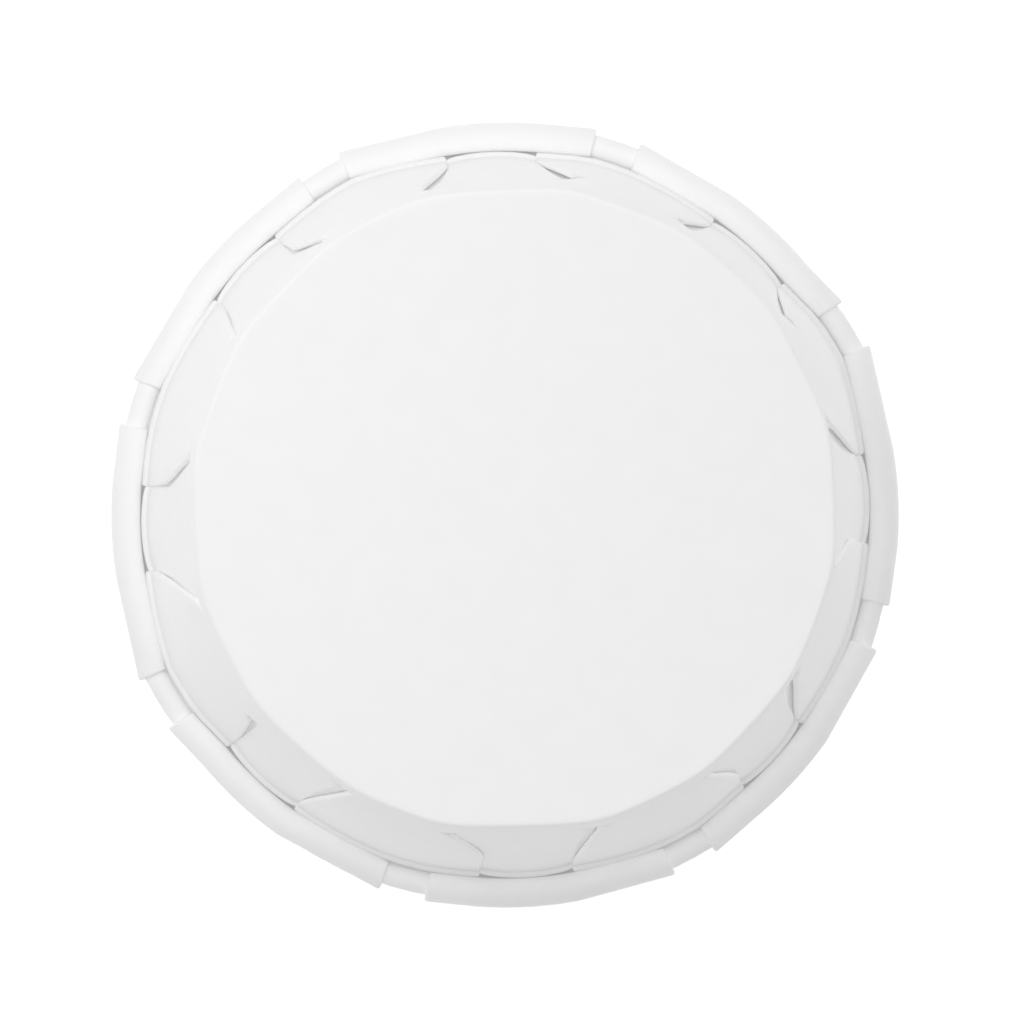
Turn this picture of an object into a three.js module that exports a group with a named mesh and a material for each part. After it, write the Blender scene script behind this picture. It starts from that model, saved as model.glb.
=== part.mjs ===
import * as THREE from "three";

// A paper portion cup pressed from one round sheet, standing on its rolled rim with the
// base up. Millimetres, +Z up, origin on the ground under the middle of the rim. Eight box
// pleats take up the sheet's spare width. Between them the wall shows two kinds of panel:
// proud panels, whose folded edges lie over recessed panels.

// Driving dimensions: the whole cup
const HEIGHT = 33; // ground to the outer face of the base
const BASE_RADIUS = 23.8; // to the corners of the base's outline
const BASE_BEND = 0.5; // bend from base to wall, at the middle of the paper
const WALL_RADIUS = 28.56; // wall where the rim's curl starts, at the middle of the paper
const RIM_RADIUS = 30.9; // to the outside of the rim, at the middle of a rim panel
const LAYER = 0.24; // one layer of pressed paper
const CURL_START = 1.04; // radius of the curl where it leaves the wall
const CURL_END = 0.88; // radius of the curl at its cut edge
const CURL_LAST = 478; // where the cut edge is, in degrees round the curl from outside

// Driving dimensions: the eight pleats, in degrees round the cup
const BASE_FROM = [-10.2, 37.8, 80.6, 125.4, 171.0, 217.9, 257.5, 305.9];
const BASE_TO = [13.5, 57.8, 105.9, 148.4, 195.9, 239.1, 284.8, 328.2];
const WALL_FROM = [-4.75, 40.4, 85.2, 129.7, 175.4, 219.7, 265.5, 310.9];
const WALL_TO = [9.8, 57.0, 99.6, 143.9, 189.2, 234.3, 280.7, 324.8];
const RIM_FROM = [-13.3, 32.5, 77.0, 121.7, 166.9, 212.4, 258.1, 301.9];
const RIM_TO = [25.0, 70.0, 114.9, 160.0, 204.3, 251.1, 295.0, 339.8];

// How far each rim panel reaches beyond RIM_RADIUS at its two ends and in its middle
const REACH_FROM = [0.08, 0.44, 0.3, 0.28, 0.32, 0.52, 0.12, 0.32];
const REACH_MIDDLE = [0.0, -0.11, 0.0, -0.03, 0.16, 0.0, -0.03, -0.06];
const REACH_TO = [0.67, 0.2, 0.52, 0.32, 0.75, 0.16, 0.32, 0.16];
const REACH_LOW_POINT = 0.42; // part of the panel's width at which it reaches least

// Driving dimensions: how a pleat grows from nothing at the base
const STEP_HALF = 0.2; // half the width of a folded edge, in degrees
const FOLD_AT_BASE = 0.7; // width of a fold where it starts, in degrees
const FOLD_FULL = 0.18; // part of the wall's height where a fold is at full depth
const EDGE_STRAIGHT = 0.6; // part of the height from which a proud panel's edge is upright
const POCKET_END = 0.5; // part of the height where the pocket beside a fold has closed
const POCKET_PROUD = 0.14; // how far a proud panel swells over a pocket
const POCKET_DEEP = 0.22; // how far a recessed panel sinks beside a pocket
const PROUD_CROWN = 0.07; // how far a proud panel's base edge bows out from straight

const WALL_ROWS = [0.07, 0.18, 0.34, 0.56, 0.8, 1];
const CURL_ROWS = [212, 241, 270, 300, 330, 360, 390, 420, 449, CURL_LAST];
const BEND_ROWS = [90, 48];

const PLEATS = BASE_FROM.length;
const TURN = 360;
const rad = THREE.MathUtils.degToRad;
const mix = THREE.MathUtils.lerp;

// The wall's slope, and the curl's centre, from the sizes above
const baseMiddle = HEIGHT - LAYER / 2;
const slope = Math.atan((WALL_RADIUS - BASE_RADIUS) / (HEIGHT - 2 * CURL_START));
const curlFirst = 180 + THREE.MathUtils.radToDeg(slope);
const curlRadius = (turn) =>
  mix(CURL_START, CURL_END, (turn - curlFirst) / (CURL_LAST - curlFirst));
const curlCentre = {
  r: RIM_RADIUS - curlRadius(TURN) - 1.5 * LAYER,
  z: curlRadius(270) + 1.5 * LAYER,
};

// How far a fold has grown at a height, from 0 at the base to 1
function foldGrowth(height) {
  return THREE.MathUtils.smoothstep(height, 0, FOLD_FULL);
}

// How open the pocket beside a fold is at a height
function pocketOpening(height) {
  return Math.sin(Math.PI * Math.min(1, height / POCKET_END));
}

// The four fold lines of one pleat at a height, in degrees: the recessed panel seen from
// outside runs between the outer two, and seen from inside between the inner two
function foldLines(pleat, height) {
  const rise = 1 - (1 - Math.min(1, height / EDGE_STRAIGHT)) ** 1.6;
  const outerFrom = mix(BASE_FROM[pleat], WALL_FROM[pleat], rise);
  const outerTo = mix(BASE_TO[pleat], WALL_TO[pleat], rise);
  const innerFrom = mix(BASE_FROM[pleat] - FOLD_AT_BASE, RIM_FROM[pleat], height);
  const innerTo = mix(BASE_TO[pleat] + FOLD_AT_BASE, RIM_TO[pleat], height);
  return { innerFrom, outerFrom, outerTo, innerTo };
}

// Stations round the cup at a height. Each has its angle, whether the outer face is proud
// there and whether the inner face is, with a close pair of stations at every folded edge
function stationsAt(height) {
  const stations = [];
  const add = (angle, proudOutside, proudInside) =>
    stations.push({ angle, proudOutside, proudInside });
  for (let pleat = 0; pleat < PLEATS; pleat += 1) {
    const fold = foldLines(pleat, height);
    const next = foldLines((pleat + 1) % PLEATS, height);
    const nextFrom = next.innerFrom + (pleat + 1 === PLEATS ? TURN : 0);
    add(fold.innerFrom - STEP_HALF, true, false);
    add(fold.innerFrom + STEP_HALF, true, true);
    add(fold.outerFrom - STEP_HALF, true, true);
    add(fold.outerFrom + STEP_HALF, false, true);
    for (const share of [0.28, 0.5, 0.72]) {
      add(mix(fold.outerFrom, fold.outerTo, share), false, true);
    }
    add(fold.outerTo - STEP_HALF, false, true);
    add(fold.outerTo + STEP_HALF, true, true);
    add(mix(fold.outerTo, fold.innerTo, 0.5), true, true);
    add(fold.innerTo - STEP_HALF, true, true);
    add(fold.innerTo + STEP_HALF, true, false);
    for (const share of [0.36, 0.68]) {
      add(mix(fold.innerTo, nextFrom, share), true, false);
    }
  }
  return stations;
}

// Radius of the base's outline: straight edges between the fold corners, with the proud
// panels' edges bowed out a little
function baseOutline(angle) {
  for (let pleat = 0; pleat < PLEATS; pleat += 1) {
    const wrapped = THREE.MathUtils.euclideanModulo(angle - BASE_FROM[pleat], TURN);
    const recessed = BASE_TO[pleat] - BASE_FROM[pleat];
    const nextFrom = pleat + 1 === PLEATS ? BASE_FROM[0] + TURN : BASE_FROM[pleat + 1];
    const whole = nextFrom - BASE_FROM[pleat];
    if (wrapped > whole) continue;
    const proud = wrapped > recessed;
    const start = proud ? recessed : 0;
    const width = proud ? whole - recessed : recessed;
    const fromMiddle = wrapped - start - width / 2;
    const straight = BASE_RADIUS * Math.cos(rad(width / 2)) / Math.cos(rad(fromMiddle));
    const bow = proud ? PROUD_CROWN * Math.cos(Math.PI * fromMiddle / width) : 0;
    return straight + bow;
  }
  return BASE_RADIUS;
}

// How far the rim reaches beyond its plain radius at an angle
function rimReach(angle) {
  for (let pleat = 0; pleat < PLEATS; pleat += 1) {
    const along = THREE.MathUtils.euclideanModulo(angle - RIM_FROM[pleat], TURN);
    const panel = RIM_TO[pleat] - RIM_FROM[pleat];
    const next = (pleat + 1) % PLEATS;
    const whole = THREE.MathUtils.euclideanModulo(RIM_FROM[next] - RIM_FROM[pleat], TURN);
    if (along > whole) continue;
    if (along > panel) {
      return mix(REACH_TO[pleat], REACH_FROM[next], (along - panel) / (whole - panel));
    }
    const share = along / panel;
    const rest = REACH_MIDDLE[pleat];
    if (share < REACH_LOW_POINT) {
      return rest + (REACH_FROM[pleat] - rest) * (1 - share / REACH_LOW_POINT) ** 2;
    }
    const beyond = (share - REACH_LOW_POINT) / (1 - REACH_LOW_POINT);
    return rest + (REACH_TO[pleat] - rest) * beyond ** 2;
  }
  return 0;
}

// Distance of the paper's outer and inner face from its middle at a station: folds and
// pockets make the wall one layer thick on a panel and three where panels overlap
function faceOffset(station, height, outerFace) {
  const grown = foldGrowth(height);
  const pocket = pocketOpening(height);
  const swell = station.proudOutside ? POCKET_PROUD * pocket : -POCKET_DEEP * pocket;
  if (outerFace) {
    return LAYER * (station.proudOutside ? 0.5 + grown : 0.5 - grown) + swell;
  }
  const sunk = station.proudInside ? -POCKET_DEEP : POCKET_PROUD;
  return LAYER * (station.proudInside ? -0.5 - grown : -0.5 + grown) + sunk * pocket;
}

// One point of the middle of the paper, with the direction that faces out of the cup, for
// each place along the profile
function bendPoint(turn, angle) {
  const r = baseOutline(angle) - BASE_BEND * (1 - Math.cos(rad(turn)));
  const z = baseMiddle - BASE_BEND * (1 - Math.sin(rad(turn)));
  return { r, z, outR: Math.cos(rad(turn)), outZ: Math.sin(rad(turn)) };
}

function wallPoint(height, angle) {
  const top = bendPoint(THREE.MathUtils.radToDeg(slope), angle);
  const foot = curlPoint(curlFirst, angle);
  const r = mix(top.r, foot.r, height);
  const z = mix(top.z, foot.z, height);
  return { r, z, outR: Math.cos(slope), outZ: Math.sin(slope) };
}

function curlPoint(turn, angle) {
  const radius = curlRadius(turn);
  const r = curlCentre.r + rimReach(angle) + radius * Math.cos(rad(turn));
  const z = curlCentre.z + radius * Math.sin(rad(turn));
  return { r, z, outR: -Math.cos(rad(turn)), outZ: -Math.sin(rad(turn)) };
}

// The profile's rows for one face of the paper, from the base's flat to the cut edge
function faceRows(outerFace) {
  const rows = [];
  for (const turn of BEND_ROWS) {
    rows.push({ height: 0, outerFace, place: (angle) => bendPoint(turn, angle) });
  }
  for (const height of [0, ...WALL_ROWS]) {
    rows.push({ height, outerFace, place: (angle) => wallPoint(height, angle) });
  }
  for (const turn of CURL_ROWS) {
    rows.push({ height: 1, outerFace, place: (angle) => curlPoint(turn, angle) });
  }
  return rows;
}

// One ring of points round the cup for a row
function ringPoints(row) {
  return stationsAt(row.height).map((station) => {
    const middle = row.place(station.angle);
    const offset = faceOffset(station, row.height, row.outerFace);
    const r = middle.r + middle.outR * offset;
    const z = middle.z + middle.outZ * offset;
    const angle = rad(station.angle);
    return [r * Math.cos(angle), r * Math.sin(angle), z];
  });
}

// The sheet as one closed surface: down the outer face to the cut edge and back up the
// inner face, with a fan over the flat of the base on each side
function cupGeometry() {
  const rows = [...faceRows(true), ...faceRows(false).reverse()];
  const rings = rows.map(ringPoints);
  const around = rings[0].length;
  const positions = rings.flat(2);
  const topCentre = rings.length * around;
  const underCentre = topCentre + 1;
  positions.push(0, 0, HEIGHT);
  positions.push(0, 0, HEIGHT - LAYER);
  const index = [];
  for (let ring = 0; ring + 1 < rings.length; ring += 1) {
    for (let at = 0; at < around; at += 1) {
      const after = (at + 1) % around;
      const here = ring * around;
      const below = here + around;
      index.push(here + at, below + at, below + after);
      index.push(here + at, below + after, here + after);
    }
  }
  const last = (rings.length - 1) * around;
  for (let at = 0; at < around; at += 1) {
    const after = (at + 1) % around;
    index.push(topCentre, at, after);
    index.push(underCentre, last + after, last + at);
  }
  const geometry = new THREE.BufferGeometry();
  geometry.setAttribute("position", new THREE.Float32BufferAttribute(positions, 3));
  geometry.setIndex(index);
  geometry.computeVertexNormals();
  return geometry;
}

const paper = new THREE.MeshStandardMaterial({
  name: "paper",
  color: 0xf3f3f2,
  roughness: 0.92,
  metalness: 0,
});

const cup = new THREE.Mesh(cupGeometry(), paper);
cup.name = "cup";

const portionCup = new THREE.Group();
portionCup.add(cup);

export default portionCup;
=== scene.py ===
import math

import bpy
import numpy as np
from mathutils import Matrix, Vector


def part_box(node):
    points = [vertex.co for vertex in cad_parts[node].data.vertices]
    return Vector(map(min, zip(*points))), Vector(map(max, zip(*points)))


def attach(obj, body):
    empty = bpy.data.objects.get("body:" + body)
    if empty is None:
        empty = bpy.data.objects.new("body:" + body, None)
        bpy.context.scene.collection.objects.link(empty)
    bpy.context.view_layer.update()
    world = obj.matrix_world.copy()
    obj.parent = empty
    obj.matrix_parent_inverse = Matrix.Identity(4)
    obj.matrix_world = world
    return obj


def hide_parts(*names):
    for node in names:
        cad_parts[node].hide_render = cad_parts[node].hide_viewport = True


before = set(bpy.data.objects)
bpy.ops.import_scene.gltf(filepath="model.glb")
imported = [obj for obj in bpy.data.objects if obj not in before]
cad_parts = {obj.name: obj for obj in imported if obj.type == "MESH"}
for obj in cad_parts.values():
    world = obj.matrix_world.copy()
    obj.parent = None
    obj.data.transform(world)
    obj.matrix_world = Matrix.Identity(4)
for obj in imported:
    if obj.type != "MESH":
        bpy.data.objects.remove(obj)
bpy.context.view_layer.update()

scene = bpy.context.scene
MM = 0.001


# The camera stands above the upturned cup, a little towards its lower left, and looks
# straight at the middle of the picture. Its distance above the base is what makes the
# base look 0.88 of the rim's inside, and its lens gives the cup its share of the frame.
PICTURE_PIXELS = 1024
LENS_PIXELS = 5532.0
SENSOR_WIDTH = 36.0
EYE = Vector((-10.07, -7.55, 437.0)) * MM
AIM = Vector((0.43, 0.20, 1.4)) * MM

camera_data = bpy.data.cameras.new("camera")
camera_data.sensor_width = SENSOR_WIDTH
camera_data.lens = LENS_PIXELS * SENSOR_WIDTH / PICTURE_PIXELS
camera_data.clip_start = 20.0 * MM
camera_data.clip_end = 10000.0 * MM
camera = bpy.data.objects.new("camera", camera_data)
camera.location = EYE
gaze = (AIM - EYE).normalized()
rightward = gaze.cross(Vector((0.0, 1.0, 0.0))).normalized()
upward = rightward.cross(gaze)
camera.rotation_euler = Matrix((rightward, upward, -gaze)).transposed().to_euler()
scene.collection.objects.link(camera)
scene.camera = camera


# The sheet: one round blank of white bleached paper, pressed between a punch and a die
# into a flat base, a steep wall with eight box pleats and a rim that curls outwards. It
# is worked out as the middle of the paper, then given its thickness on both sides.

# Lengths are millimetres and turns are degrees. The paper's thickness, the distance from
# one folded layer to the next, and the height that the solid has
PAPER = 0.20
LAYER_PITCH = 0.24
CUP_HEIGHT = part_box("cup")[1][2] / MM

# Where the eight recessed panels begin and end along the base's edge and at the wall's
# foot, and where the raised panel of the roll below each does, overlaps and all
PLEATS = 8
BASE_FROM = np.array([-10.2, 37.8, 80.6, 125.4, 171.0, 217.9, 257.5, 305.9])
BASE_TO = np.array([13.5, 57.8, 105.9, 148.4, 195.9, 239.1, 284.8, 328.2])
WALL_FROM = np.array([-4.75, 39.7, 85.2, 129.7, 175.4, 219.7, 265.5, 310.9])
WALL_TO = np.array([9.8, 55.0, 99.9, 143.9, 189.2, 234.3, 280.7, 324.8])
RIM_FROM = np.array([-13.3, 32.5, 77.0, 121.7, 166.9, 212.4, 258.1, 301.9])
RIM_TO = np.array([25.0, 70.0, 114.9, 160.0, 204.3, 251.1, 295.0, 339.8])

# Each fold, on the clockwise and the other side of the recessed panels: where its line
# would meet the base, the part of the wall's height below which it stands upright, how
# far down the wall it starts, and how wide and deep the groove beside it is there
FOLD_FROM = np.array([-10.2, 30.5, 71.5, 121.0, 169.8, 217.9, 256.0, 304.5])
FOLD_TO = np.array([15.8, 63.5, 109.5, 149.5, 197.5, 240.5, 286.0, 329.5])
KNEE_FROM = np.array([0.60, 1.0, 1.0, 0.55, 0.65, 0.80, 0.70, 0.75])
KNEE_TO = np.array([1.0, 1.0, 0.95, 1.0, 1.0, 1.0, 1.0, 1.0])
START_FROM = np.array([1.0, 12.0, 14.5, 5.5, 4.0, 9.0, 5.0, 4.0])
START_TO = np.array([1.4, 11.5, 8.0, 4.6, 3.0, 2.6, 4.2, 2.0])
GAPE_FROM = np.array([0.25, 0.50, 0.80, 0.60, 0.50, 0.70, 0.25, 0.60])
GAPE_TO = np.array([1.45, 0.90, 0.80, 0.30, 0.30, 0.90, 0.90, 1.30])
DIP_FROM = np.array([0.0, 0.20, 0.34, 0.20, 0.18, 0.34, 0.0, 0.12])
DIP_TO = np.array([0.46, 0.32, 0.30, 0.04, 0.06, 0.28, 0.20, 0.40])

# The height over which a fold opens up and the part of it above the start, the width of
# the soft step over it, how its line rounds off at the knee, the groove's width at the
# wall's foot, and the flat part of its floor
FOLD_LENGTH = 1.6
OPEN_ABOVE = 0.2
SOFT_STEP = 2.6
KNEE_CURVE = 1.25
GAPE_AT_FOOT = 0.1
GROOVE_FLOOR = 0.5

# How little the layers overlap where a fold starts, the power by which that grows down
# the wall, and the most of it that the inner turn of the fold takes
LAP_LEAST = 0.12
LAP_GROWTH = 2.2
LAP_TURN_MOST = 0.9

# How far down the wall the panels start to part, and stand a whole layer out or in, and
# the power that eases a proud one into its folds
PANEL_START = 0.8
PANEL_FULL = 20.0
PANEL_EASE = 0.5

# How far the recessed panels swell out at the wall's foot, the share of the wall where
# that starts, the turn of the roll where it ends, and how square it is across
WINDOW_SWELL = np.array([0.50, 0.46, 0.47, 0.50, 0.46, 0.48, 0.49, 0.48])
SWELL_START = 0.55
SWELL_LAST_TURN = 250.0
SWELL_POWER = 0.3

# How far each rim panel reaches beyond the plain radius at its two ends and its middle,
# the powers by which it rises towards those ends, and how many knots draw each rise
REACH_FROM = np.array([0.08, 0.44, 0.30, 0.28, 0.32, 0.52, 0.12, 0.32])
REACH_MIDDLE = np.array([0.0, -0.11, 0.0, -0.03, 0.16, 0.0, -0.03, -0.06])
REACH_TO = np.array([0.67, 0.20, 0.52, 0.32, 0.75, 0.16, 0.32, 0.16])
REACH_CURVE_FROM = 1.5
REACH_CURVE_TO = 1.3
REACH_KNOTS_FROM = 6
REACH_KNOTS_TO = 8

# The base's edge: its radius, how far and which way it is moved, the bend into the wall
# and its last turn, how far its sides bow out, and the degrees over which its corners are
# rounded and the step of that working
BASE_RADIUS = 23.68
BASE_SHIFT = 0.16
BASE_SHIFT_TOWARDS = 235.0
BASE_BEND = 0.24
BEND_END = 8.0
PROUD_CROWN = 0.18
RECESSED_CROWN = 0.14
OUTLINE_BLUR = 8.0
OUTLINE_STEP = 0.5

# The radius of the wall's foot, the height and arc of the flare out of it, and the
# shoulder before the roll
WALL_FOOT = 27.76
FLARE_TOP = 2.75
FLARE_RADIUS = 0.6
FLARE_TURN = 78.0
SHOULDER_RADIUS = 0.02

# The roll: its outer radius and middle height, how high it stands, how deep and how many
# the waves are that dent it round the cup, the arc over its crown with what each layer
# inside adds to it, and the arc that tucks its cut edge in
RIM_RADIUS = 30.95
CURL_MIDDLE = 1.56
CURL_OVER = 0.83
CURL_DENT = 0.07
LONG_WAVES = 11.0
LONG_WAVE_START = 40.0
SHORT_WAVES = 29.0
CROWN_RADIUS = 0.95
CROWN_GROWTH = 0.13
CROWN_END = 57.0
CROWN_SPREAD = 0.28
TUCK_RADIUS = 0.15
TUCK_TURN = 62.0

# How many columns of the grid each part of a pleat takes, and where those of a groove
# lie, as shares of its width
COLUMNS_PROUD = 10
COLUMNS_TURN = 5
COLUMNS_MIDDLE = 3
COLUMNS_RECESSED = 10
GROOVE_COLUMNS = np.array([[0.06, 0.35, 0.62, 0.8, 0.98, 1.12]])

# The rows from the middle of the base to the cut edge. Those of the base lie closer near
# its edge, and those of the wall where the folds start
BASE_ROWS = (0.07, 0.2, 0.36, 0.52, 0.68, 0.82, 0.92, 0.965, 0.985)
UPPER_WALL_ROWS = np.linspace(0.01, 0.36, 22)
LOWER_WALL_ROWS = np.linspace(0.39, 0.99, 15)
ROWS_BEND = 7
ROWS_FLARE = 8
ROWS_SHOULDER = 5
ROWS_UNDER = 13
ROWS_OVER = 10
ROWS_CROWN = 8
ROWS_TUCK = 6


def smooth_rise(value, low, high):
    """0 below low, 1 above high, and a smooth S curve between them."""
    share = np.clip((value - low) / (high - low), 0.0, 1.0)
    return share * share * (3.0 - 2.0 * share)


def base_outline(angle):
    """Radius of the base's edge: straight chords between the sixteen fold corners, each
    bowed out by half a cosine wave, all blurred over a few degrees so that the corners
    are round, and moved a little to one side by a whole cosine wave."""
    table = np.arange(0.0, 360.0, OUTLINE_STEP)
    next_from = np.roll(BASE_FROM, -1)
    next_from[-1] += 360.0
    corners = np.column_stack([BASE_FROM, BASE_TO]).ravel()
    widths = np.column_stack([BASE_TO - BASE_FROM, next_from - BASE_TO]).ravel()
    turned = (table - BASE_FROM[0]) % 360.0 + BASE_FROM[0]
    panel = np.clip(np.searchsorted(corners, turned, side="right") - 1, 0, 2 * PLEATS - 1)
    off_middle = turned - corners[panel] - widths[panel] / 2.0
    straight = BASE_RADIUS * np.cos(np.radians(widths[panel] / 2.0))
    straight = straight / np.cos(np.radians(off_middle))
    crown = np.where(panel % 2 == 1, PROUD_CROWN, RECESSED_CROWN)
    radius = straight + crown * np.cos(np.pi * off_middle / widths[panel])
    reach = int(OUTLINE_BLUR / OUTLINE_STEP)
    weights = np.hanning(2 * reach + 1)
    wide = np.concatenate([radius[-reach:], radius, radius[:reach]])
    radius = np.convolve(wide, weights / weights.sum(), mode="valid")
    radius = radius + BASE_SHIFT * np.cos(np.radians(table - BASE_SHIFT_TOWARDS))
    return np.interp(angle, table, radius, period=360.0)


def rim_reach(angle):
    """How far the rim stands out at an angle: least across each recessed panel, rising
    as a power of the distance towards both ends of the rim panel, straight between."""
    knots = []
    reach = []
    for pleat in range(PLEATS):
        rest = REACH_MIDDLE[pleat]
        for share in np.linspace(0.0, 1.0, REACH_KNOTS_FROM):
            knots.append(RIM_FROM[pleat] + share * (WALL_FROM[pleat] - RIM_FROM[pleat]))
            reach.append(rest + (REACH_FROM[pleat] - rest) * (1.0 - share) ** REACH_CURVE_FROM)
        for share in np.linspace(0.0, 1.0, REACH_KNOTS_TO):
            knots.append(WALL_TO[pleat] + share * (RIM_TO[pleat] - WALL_TO[pleat]))
            reach.append(rest + (REACH_TO[pleat] - rest) * share ** REACH_CURVE_TO)
    return np.interp(angle, knots, reach, period=360.0)


def sheet_rows():
    """The rows from the middle of the base to the cut edge: for each its kind, its place
    in that kind, and the share of the wall's height that sets the fold lines there."""
    runs = (
        ("base", BASE_ROWS),
        ("bend", np.linspace(90.0, BEND_END, ROWS_BEND)),
        ("wall", np.concatenate([UPPER_WALL_ROWS, LOWER_WALL_ROWS])),
        ("flare", np.linspace(0.0, 1.0, ROWS_FLARE)),
        ("shoulder", np.linspace(0.0, 1.0, ROWS_SHOULDER)[1:]),
        ("under", np.linspace(180.0, 360.0, ROWS_UNDER)),
        ("over", np.linspace(360.0, 450.0, ROWS_OVER)[1:]),
        ("crown", np.linspace(0.0, CROWN_END, ROWS_CROWN)[1:]),
        ("tuck", np.linspace(0.0, TUCK_TURN, ROWS_TUCK)[1:]),
    )
    rows = []
    for kind, places in runs:
        for place in places:
            beyond_bend = 0.0 if kind in ("base", "bend") else 1.0
            rows.append((kind, place, place if kind == "wall" else beyond_bend))
    return rows


def profile_point(kind, place, angle, offset):
    """Radius and height of the middle of the paper on one row. The base is level, the
    bend an arc, the wall straight, the flare an arc that leans outwards and the shoulder
    one that turns down again. The curl is a half circle below, a quarter circle outside
    that two sine waves press down unevenly, and another arc on top, whose cut edge is
    tucked in beside the wall. The layers inside the roll reach further round it."""
    reach = rim_reach(angle)
    outline = base_outline(angle)
    flat = CUP_HEIGHT - PAPER / 2.0
    if kind == "base":
        return (outline - BASE_BEND) * place, np.full_like(angle, flat)
    turn = math.radians(place if kind == "bend" else BEND_END)
    top_r = outline - BASE_BEND * (1.0 - math.cos(turn))
    top_z = flat - BASE_BEND * (1.0 - math.sin(turn))
    if kind == "bend":
        return top_r, np.full_like(angle, top_z)
    foot = WALL_FOOT + reach
    if kind == "wall":
        height = top_z + (FLARE_TOP - top_z) * place
        return top_r + (foot - top_r) * place, np.full_like(angle, height)
    lean = np.arctan2(foot - top_r, top_z - FLARE_TOP)
    full = math.radians(FLARE_TURN)
    turn = lean + (full - lean) * (place if kind == "flare" else 1.0)
    r = foot + FLARE_RADIUS * (np.cos(lean) - np.cos(turn))
    z = FLARE_TOP - FLARE_RADIUS * (np.sin(turn) - np.sin(lean))
    if kind == "flare":
        return r, z
    turn = full * (1.0 - (place if kind == "shoulder" else 1.0))
    r = r + SHOULDER_RADIUS * (math.cos(turn) - math.cos(full))
    z = z + SHOULDER_RADIUS * (math.sin(turn) - math.sin(full))
    if kind == "shoulder":
        return r, z
    outermost = RIM_RADIUS - 0.5 * PAPER - LAYER_PITCH + reach
    turn = math.radians(place)
    if kind == "under":
        half_width = (outermost - r) / 2.0
        return r + half_width * (1.0 + math.cos(turn)), CURL_MIDDLE + half_width * math.sin(turn)
    crest_r = outermost - CURL_OVER
    waves = np.sin(np.radians(LONG_WAVES * angle + LONG_WAVE_START))
    waves = waves + np.sin(np.radians(SHORT_WAVES * angle))
    over = CURL_OVER - CURL_DENT * (0.5 + 0.25 * waves)
    if kind == "over":
        return crest_r + CURL_OVER * math.cos(turn), CURL_MIDDLE + over * math.sin(turn)
    if kind == "tuck":
        turn = math.radians(CROWN_END)
    layer = 1.0 + offset / LAYER_PITCH
    turn = turn * (1.0 + CROWN_SPREAD * layer)
    crown = CROWN_RADIUS + CROWN_GROWTH * layer
    r = crest_r - crown * np.sin(turn)
    z = CURL_MIDDLE + over - crown * (1.0 - np.cos(turn))
    if kind == "crown":
        return r, z
    tucked = turn + math.radians(place)
    r = r - TUCK_RADIUS * (np.sin(tucked) - np.sin(turn))
    return r, z - TUCK_RADIUS * (np.cos(turn) - np.cos(tucked))


def fold_columns(edge, lap, proud, sunk, side, loose, to_degrees):
    """The columns of one fold, from the proud panel's edge to the recessed panel: a half
    circle, a straight layer between, and another half circle as wide as the room left
    below that layer. side is -1 where the recessed panel lies ahead of the proud one and
    1 where it lies behind. Where no fold has started (loose is 0) they lie evenly on a
    soft step."""
    psi = np.radians(np.linspace(90.0, -90.0, COLUMNS_TURN + 1))[None, :]
    outer_turn = 0.5 * LAYER_PITCH
    inner_turn = 0.5 * (proud - LAYER_PITCH - sunk)
    angle_outer = edge + side * outer_turn * to_degrees * (1.0 - np.cos(psi))
    out_outer = proud - outer_turn + outer_turn * np.sin(psi)
    behind = lap - np.minimum(inner_turn, LAP_TURN_MOST * lap)
    angle_inner = edge + side * (behind + (lap - behind) * np.cos(psi)) * to_degrees
    out_inner = sunk + inner_turn + inner_turn * np.sin(psi)
    part = np.linspace(0.0, 1.0, COLUMNS_MIDDLE + 1)[1:-1][None, :]
    angle_between = angle_outer[:, -1:] + (angle_inner[:, :1] - angle_outer[:, -1:]) * part
    out_between = out_outer[:, -1:] + (out_inner[:, :1] - out_outer[:, -1:]) * part
    angle = np.hstack([angle_outer, angle_between, angle_inner])
    out = np.hstack([out_outer, out_between, out_inner])
    along = np.linspace(0.0, 1.0, angle.shape[1])[None, :]
    even = edge - side * (along - 0.5) * SOFT_STEP * to_degrees
    step = proud + (sunk - proud) * smooth_rise(along, 0.0, 1.0)
    return even * (1.0 - loose) + angle * loose, step * (1.0 - loose) + out * loose


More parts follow.
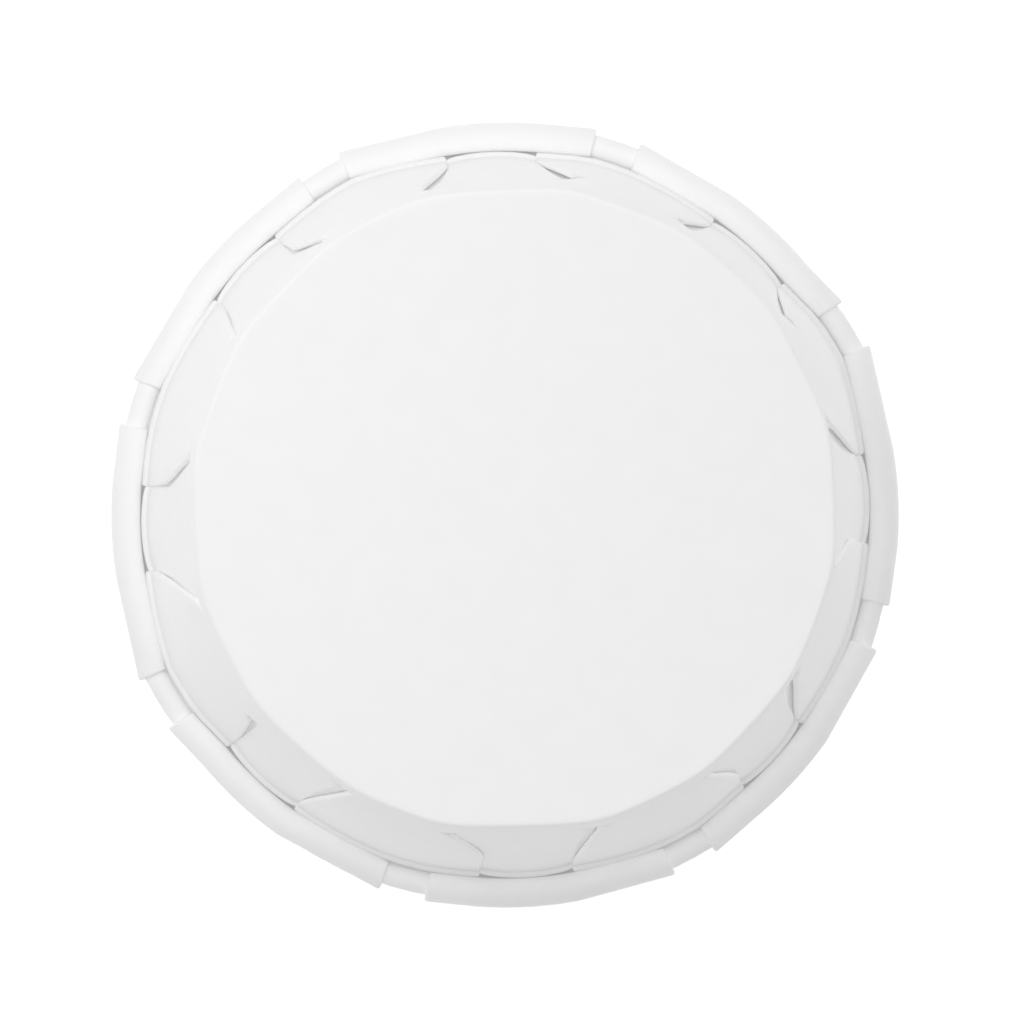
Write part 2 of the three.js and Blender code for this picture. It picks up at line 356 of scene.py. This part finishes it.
def fold_path(rows):
    """For every row and every column round the cup, the angle and the distance out from
    the middle of the stack. Each pleat runs: fold, recessed panel, the same fold the other
    way round, proud panel. The recessed panel has a groove along each fold and swells out
    between them near the rim."""
    kinds = np.array([row[0] for row in rows])
    places = np.array([row[1] for row in rows])
    share = np.array([row[2] for row in rows])[:, None]
    down = share * (CUP_HEIGHT - FLARE_TOP)
    to_degrees = np.degrees(1.0 / (BASE_RADIUS + (WALL_FOOT - BASE_RADIUS) * share))
    plain = LAYER_PITCH * smooth_rise(down, PANEL_START, PANEL_FULL)
    swell = smooth_rise(share, SWELL_START, 1.0)[:, 0]
    ebb = 1.0 - smooth_rise(places, 180.0, SWELL_LAST_TURN)
    swell = np.where(kinds == "under", ebb, swell)
    swell = np.where(np.isin(kinds, ["over", "crown", "tuck"]), 0.0, swell)[:, None]
    middle = 0.5 - 0.5 * np.cos(np.linspace(0.0, np.pi, COLUMNS_RECESSED))[None, :]
    proud_part = np.linspace(0.0, 1.0, COLUMNS_PROUD + 1)[1:-1][None, :]

    def one_fold(pleat, side):
        """The fold's columns, its edge, and how wide and deep the groove beside it is."""
        if side < 0:
            base, rim, knee = FOLD_FROM[pleat], WALL_FROM[pleat], KNEE_FROM[pleat]
            start, lap = START_FROM[pleat], WALL_FROM[pleat] - RIM_FROM[pleat]
            gape, dip = GAPE_FROM[pleat], DIP_FROM[pleat]
        else:
            base, rim, knee = FOLD_TO[pleat], WALL_TO[pleat], KNEE_TO[pleat]
            start, lap = START_TO[pleat], RIM_TO[pleat] - WALL_TO[pleat]
            gape, dip = GAPE_TO[pleat], DIP_TO[pleat]
        rise = 1.0 - (1.0 - np.minimum(1.0, share / knee)) ** KNEE_CURVE
        edge = base + (rim - base) * rise
        opening = start - OPEN_ABOVE * FOLD_LENGTH
        loose = smooth_rise(down, opening, opening + FOLD_LENGTH)
        closing = np.clip((down[-1] - down) / (down[-1] - start), 0.0, 1.0)
        dip_here = dip * closing * loose
        gape_here = GAPE_AT_FOOT + (gape - GAPE_AT_FOOT) * closing
        lap_here = np.maximum(LAP_LEAST, lap / to_degrees * share ** LAP_GROWTH)
        room = LAYER_PITCH * loose
        columns = fold_columns(edge, lap_here, np.maximum(plain, room),
                               -np.maximum(plain, room) - dip_here, side, loose,
                               to_degrees)
        return columns, edge, gape_here * to_degrees, dip_here

    blocks = []
    for pleat in range(PLEATS):
        after = (pleat + 1) % PLEATS
        turned = 360.0 if after == 0 else 0.0
        ahead, edge_ahead, gape_ahead, dip_ahead = one_fold(pleat, -1.0)
        behind, edge_behind, gape_behind, dip_behind = one_fold(pleat, 1.0)
        behind = [grid[:, ::-1] for grid in behind]
        following = one_fold(after, -1.0)[0]
        near = np.maximum(edge_ahead, ahead[0][:, -1:]) + gape_ahead * GROOVE_COLUMNS
        far = np.minimum(edge_behind, behind[0][:, :1]) - gape_behind * GROOVE_COLUMNS[:, ::-1]
        between = near[:, -1:] + (far[:, :1] - near[:, -1:]) * middle
        across = np.hstack([near[:, :-1], between, far[:, 1:]])
        from_ahead = (across - near[:, :1]) / gape_ahead
        from_behind = (far[:, -1:] - across) / gape_behind
        groove = dip_ahead * (1.0 - smooth_rise(from_ahead, GROOVE_FLOOR, 1.0))
        groove = groove + dip_behind * (1.0 - smooth_rise(from_behind, GROOVE_FLOOR, 1.0))
        crossed = np.clip((across - edge_ahead) / (edge_behind - edge_ahead), 0.0, 1.0)
        bulge = WINDOW_SWELL[pleat] * swell * np.sin(np.pi * crossed) ** SWELL_POWER
        window = (across, bulge - plain - groove)
        start = (behind[0][:, -1:], behind[1][:, -1:])
        finish = (following[0][:, :1] + turned, following[1][:, :1])
        ease = (4.0 * proud_part * (1.0 - proud_part)) ** PANEL_EASE
        straight = start[1] + (finish[1] - start[1]) * proud_part
        panel = (start[0] + (finish[0] - start[0]) * proud_part,
                 straight + (plain - straight) * ease)
        blocks.append((ahead, window, behind, panel))
    angles = np.hstack([piece[0] for block in blocks for piece in block])
    offsets = np.hstack([piece[1] for block in blocks for piece in block])
    return angles, offsets


def middle_surface():
    """The middle of the paper as a grid of points: each row's profile at every column's
    angle, moved out of the cup by the fold path's distance, square to the profile."""
    rows = sheet_rows()
    angle, offset = fold_path(rows)
    radius = np.empty_like(angle)
    height = np.empty_like(angle)
    for index, (kind, place, _share) in enumerate(rows):
        radius[index], height[index] = profile_point(kind, place, angle[index], offset[index])
    run_r = np.gradient(radius, axis=0)
    run_z = np.gradient(height, axis=0)
    length = np.hypot(run_r, run_z)
    radius = radius - offset * run_z / length
    height = height + offset * run_r / length
    turn = np.radians(angle)
    return np.stack([radius * np.cos(turn), radius * np.sin(turn), height], axis=-1)


def out_of_cup(points):
    """Unit directions square to the grid, on the side that faces out of the cup: the
    cross product of the step down the rows and the step round the columns."""
    down = np.gradient(points, axis=0)
    around = np.roll(points, -1, axis=1) - np.roll(points, 1, axis=1)
    normal = np.cross(down, around)
    return normal / np.linalg.norm(normal, axis=-1, keepdims=True)


# Faces that meet at more than this turn, as along the cut edge, are shaded apart
SHARP_EDGE = 55.0


def closed_sheet(name, middle, thickness):
    """A closed mesh from the middle surface: half the thickness to each side, a strip
    across the cut edge, and a fan of triangles over the middle of the base."""
    normal = out_of_cup(middle)
    outer = middle + normal * thickness / 2.0
    inner = middle - normal * thickness / 2.0
    rings = np.concatenate([outer, inner[::-1]], axis=0)
    ring_count, around, _ = rings.shape
    top = np.array([[0.0, 0.0, outer[0, :, 2].mean()]])
    under = np.array([[0.0, 0.0, inner[0, :, 2].mean()]])
    points = np.concatenate([rings.reshape(-1, 3), top, under]) * MM
    ring = np.arange(ring_count - 1)[:, None] * around
    here = np.arange(around)[None, :]
    after = (here + 1) % around
    quads = np.stack(
        [ring + here, ring + around + here, ring + around + after, ring + after], axis=-1
    ).reshape(-1, 4)
    last = (ring_count - 1) * around
    here = here.ravel()
    after = after.ravel()
    top_index = np.full(around, ring_count * around)
    fan_top = np.column_stack([top_index, here, after])
    fan_under = np.column_stack([top_index + 1, last + after, last + here])
    mesh = bpy.data.meshes.new(name)
    mesh.from_pydata(points.tolist(), [], quads.tolist() + fan_top.tolist() + fan_under.tolist())
    mesh.validate()
    mesh.shade_smooth()
    mesh.set_sharp_from_angle(angle=math.radians(SHARP_EDGE))
    return mesh


cup_mesh = closed_sheet("cup_paper", middle_surface(), PAPER)
cup = bpy.data.objects.new("cup_paper", cup_mesh)
scene.collection.objects.link(cup)
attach(cup, "root")
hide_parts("cup")


def white_paper(name):
    """Bleached uncoated paper: nearly white and matt, with faint clouds of tone where the
    fibres lie thicker, and a fine bump of short fibres. A weak glow stands for the light
    that comes through the thin sheet."""
    material = bpy.data.materials.new(name)
    material.use_nodes = True
    nodes = material.node_tree.nodes
    links = material.node_tree.links
    shader = nodes["Principled BSDF"]
    shader.inputs["Roughness"].default_value = 0.9
    shader.inputs["Specular IOR Level"].default_value = 0.25
    shader.inputs["Emission Color"].default_value = (1.0, 1.0, 1.0, 1.0)
    shader.inputs["Emission Strength"].default_value = 0.06
    place = nodes.new("ShaderNodeTexCoord")
    clouds = nodes.new("ShaderNodeTexNoise")
    clouds.inputs["Scale"].default_value = 420.0
    clouds.inputs["Detail"].default_value = 4.0
    tone = nodes.new("ShaderNodeValToRGB")
    tone.color_ramp.elements[0].position = 0.3
    tone.color_ramp.elements[0].color = (0.885, 0.885, 0.883, 1.0)
    tone.color_ramp.elements[1].position = 0.7
    tone.color_ramp.elements[1].color = (0.9, 0.9, 0.899, 1.0)
    fibres = nodes.new("ShaderNodeTexNoise")
    fibres.inputs["Scale"].default_value = 2600.0
    fibres.inputs["Detail"].default_value = 3.0
    bump = nodes.new("ShaderNodeBump")
    bump.inputs["Strength"].default_value = 0.35
    bump.inputs["Distance"].default_value = 0.03 * MM
    links.new(place.outputs["Object"], clouds.inputs["Vector"])
    links.new(place.outputs["Object"], fibres.inputs["Vector"])
    links.new(clouds.outputs["Fac"], tone.inputs["Fac"])
    links.new(tone.outputs["Color"], shader.inputs["Base Color"])
    links.new(fibres.outputs["Fac"], bump.inputs["Height"])
    links.new(bump.outputs["Normal"], shader.inputs["Normal"])
    return material


cup_mesh.materials.append(white_paper("white_paper"))


# The table: a plain matt white board that fills the view, with a weak glow of its own so
# that it stays white all round the cup.
TABLE_REACH = 1500.0 * MM
table_mesh = bpy.data.meshes.new("ground")
table_mesh.from_pydata(
    [
        (-TABLE_REACH, -TABLE_REACH, 0.0),
        (TABLE_REACH, -TABLE_REACH, 0.0),
        (TABLE_REACH, TABLE_REACH, 0.0),
        (-TABLE_REACH, TABLE_REACH, 0.0),
    ],
    [],
    [(0, 1, 2, 3)],
)
table = bpy.data.objects.new("ground", table_mesh)
scene.collection.objects.link(table)
white_board = bpy.data.materials.new("white_table")
white_board.use_nodes = True
board_shader = white_board.node_tree.nodes["Principled BSDF"]
board_shader.inputs["Base Color"].default_value = (0.9, 0.9, 0.9, 1.0)
board_shader.inputs["Roughness"].default_value = 0.9
board_shader.inputs["Emission Color"].default_value = (1.0, 1.0, 1.0, 1.0)
board_shader.inputs["Emission Strength"].default_value = 0.38
table_mesh.materials.append(white_board)


# The light: a pale room, a soft lamp overhead near the camera, and a weaker lamp at the
# upper left, so that the cup's lower right stays dimmer.

# With d the way into the room, its strength is the level plus the product of d and the
# window's pull plus the square of the product of d and the sides' pull. So the room is a
# little brighter towards its window and on both sides of the cup
ROOM_LEVEL = 0.39
WINDOW_PULL = (0.04, 0.135, 0.0)
SIDE_PULL = (0.548, 0.316, 0.0)
room = bpy.data.worlds.new("room")
room.use_nodes = True
room_nodes = room.node_tree.nodes
room_links = room.node_tree.links
room_light = room_nodes["Background"]
room_light.inputs["Color"].default_value = (1.0, 1.0, 1.0, 1.0)
way = room_nodes.new("ShaderNodeTexCoord")
towards_window = room_nodes.new("ShaderNodeVectorMath")
towards_window.operation = "DOT_PRODUCT"
towards_window.inputs[1].default_value = WINDOW_PULL
towards_side = room_nodes.new("ShaderNodeVectorMath")
towards_side.operation = "DOT_PRODUCT"
towards_side.inputs[1].default_value = SIDE_PULL
both_sides = room_nodes.new("ShaderNodeMath")
both_sides.operation = "MULTIPLY_ADD"
strength = room_nodes.new("ShaderNodeMath")
strength.operation = "ADD"
strength.inputs[1].default_value = ROOM_LEVEL
room_links.new(way.outputs["Generated"], towards_window.inputs[0])
room_links.new(way.outputs["Generated"], towards_side.inputs[0])
room_links.new(towards_side.outputs["Value"], both_sides.inputs[0])
room_links.new(towards_side.outputs["Value"], both_sides.inputs[1])
room_links.new(towards_window.outputs["Value"], both_sides.inputs[2])
room_links.new(both_sides.outputs["Value"], strength.inputs[0])
room_links.new(strength.outputs["Value"], room_light.inputs["Strength"])
scene.world = room


def soft_lamp(name, place, size, power):
    """A round lamp, its place and size in millimetres, that points at the cup's base."""
    data = bpy.data.lights.new(name, "AREA")
    data.shape = "DISK"
    data.size = size * MM
    data.energy = power
    lamp = bpy.data.objects.new(name, data)
    lamp.location = Vector(place) * MM
    aim = Vector((0.0, 0.0, CUP_HEIGHT)) * MM - lamp.location
    lamp.rotation_euler = aim.to_track_quat("-Z", "Y").to_euler()
    scene.collection.objects.link(lamp)


soft_lamp("overhead_lamp", (-20.0, 8.0, 480.0), 80.0, 0.41)
soft_lamp("side_lamp", (-70.0, 55.0, 180.0), 90.0, 0.078)

scene.view_settings.view_transform = "Standard"
scene.view_settings.look = "None"
